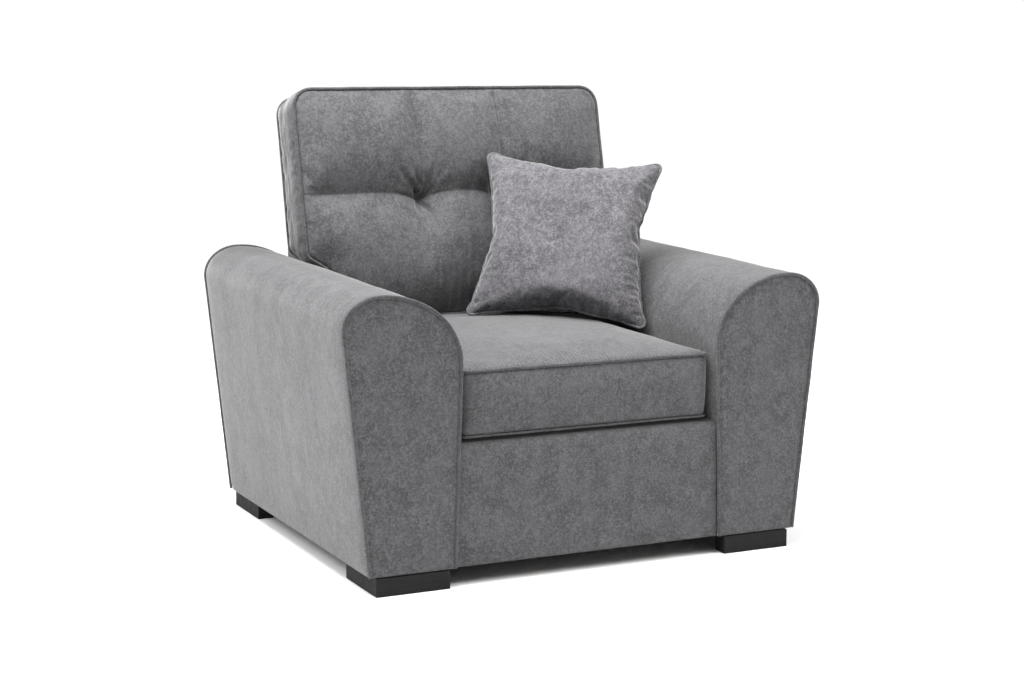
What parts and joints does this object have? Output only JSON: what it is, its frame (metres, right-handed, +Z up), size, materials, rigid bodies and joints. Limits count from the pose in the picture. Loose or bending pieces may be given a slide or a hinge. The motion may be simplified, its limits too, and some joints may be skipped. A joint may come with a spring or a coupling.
{
  "type": "upholstered armchair",
  "caption": "Wide upholstered armchair with flared padded arms, piped loose box cushions, a tufted back cushion with ears over the arms, a scatter cushion and black corner feet.",
  "frame": {"origin": "middle of the footprint at floor level", "axes": "+X to the right of the chair seen from the front, +Y towards the back, +Z up"},
  "size_m": [1.1, 0.885, 0.982],
  "materials": {
    "chenille": "mid-grey flat chenille with a soft mottled pile",
    "seat_chenille": "mid-grey chenille with a fine rib",
    "piping": "bias-cut piping of the same chenille",
    "crushed_velvet": "lighter grey crushed velvet",
    "foot_black": "black satin stained wood",
    "timber": "planed softwood",
    "plywood": "plywood and fibreboard",
    "foam": "cut foam",
    "fibre_fill": "hollow fibre wadding",
    "felt": "needled felt",
    "lining": "black lining cloth, webbing and zip tape",
    "steel": "bright steel",
    "zip_metal": "dark nickel"
  },
  "bodies": {
    "root": {"front_rail": "timber", "rear_rail": "timber", "seat_rails": "timber", "corner_blocks": "timber", "seat_springs": "steel", "spring_clips": "steel", "spring_felt": "felt", "deck_cloth": "lining", "front_rail_pad": "foam", "front_rail_cover": "chenille", "dust_cover": "lining", "foot_front_left": "foot_black", "foot_front_right": "foot_black", "foot_rear_left": "foot_black", "foot_rear_right": "foot_black", "foot_screws": "steel", "arm_bolts": "steel", "arm_front_board_left": "plywood", "arm_front_board_right": "plywood", "arm_rear_board_left": "plywood", "arm_rear_board_right": "plywood", "arm_rails_left": "timber", "arm_rails_right": "timber", "arm_wrap_board_left": "plywood", "arm_wrap_board_right": "plywood", "arm_foam_left": "foam", "arm_foam_right": "foam", "arm_front_pad_left": "foam", "arm_front_pad_right": "foam", "arm_cover_left": "chenille", "arm_cover_right": "chenille", "arm_front_panel_left": "chenille", "arm_front_panel_right": "chenille", "arm_piping_left": "piping", "arm_piping_right": "piping", "back_posts": "timber", "back_rails": "timber", "back_wings": "timber", "back_webbing": "lining", "inside_back_pad": "foam", "inside_back_cover": "chenille", "back_border": "chenille", "outside_back_cover": "chenille"},
    "seat_cushion": {"seat_cushion_core": "foam", "seat_cushion_cover": "seat_chenille", "seat_cushion_piping": "piping", "seat_zip": "lining"},
    "seat_slider": {"seat_zip_slider": "zip_metal"},
    "back_cushion": {"back_cushion_fill": "fibre_fill", "back_cushion_cover": "chenille", "back_cushion_piping": "piping", "back_tuft_ties": "lining", "back_zip": "lining"},
    "back_slider": {"back_zip_slider": "zip_metal"},
    "scatter_cushion": {"scatter_fill": "fibre_fill", "scatter_cover": "crushed_velvet", "scatter_piping": "crushed_velvet", "scatter_zip": "lining"},
    "scatter_slider": {"scatter_zip_slider": "zip_metal"}
  },
  "joints": [
    {"name": "seat_cushion_lift", "type": "slide", "parent": "root", "child": "seat_cushion", "axis": [0, 0, 1], "range_m": [0, 0.4]},
    {"name": "back_cushion_lift", "type": "slide", "parent": "seat_cushion", "child": "back_cushion", "axis": [0, 0.225, 0.9744], "range_m": [0, 0.48]},
    {"name": "scatter_cushion_lift", "type": "slide", "parent": "seat_cushion", "child": "scatter_cushion", "axis": [0, 0, 1], "range_m": [0, 0.55]},
    {"name": "seat_zip_pull", "type": "slide", "parent": "seat_cushion", "child": "seat_slider", "axis": [-1, 0, 0], "range_m": [0, 0.44]},
    {"name": "back_zip_pull", "type": "slide", "parent": "back_cushion", "child": "back_slider", "axis": [-1, 0, 0], "range_m": [0, 0.44]},
    {"name": "scatter_zip_pull", "type": "slide", "parent": "scatter_cushion", "child": "scatter_slider", "axis": [-0.8308, 0.554, 0.0534], "range_m": [0, 0.26]}
  ]
}
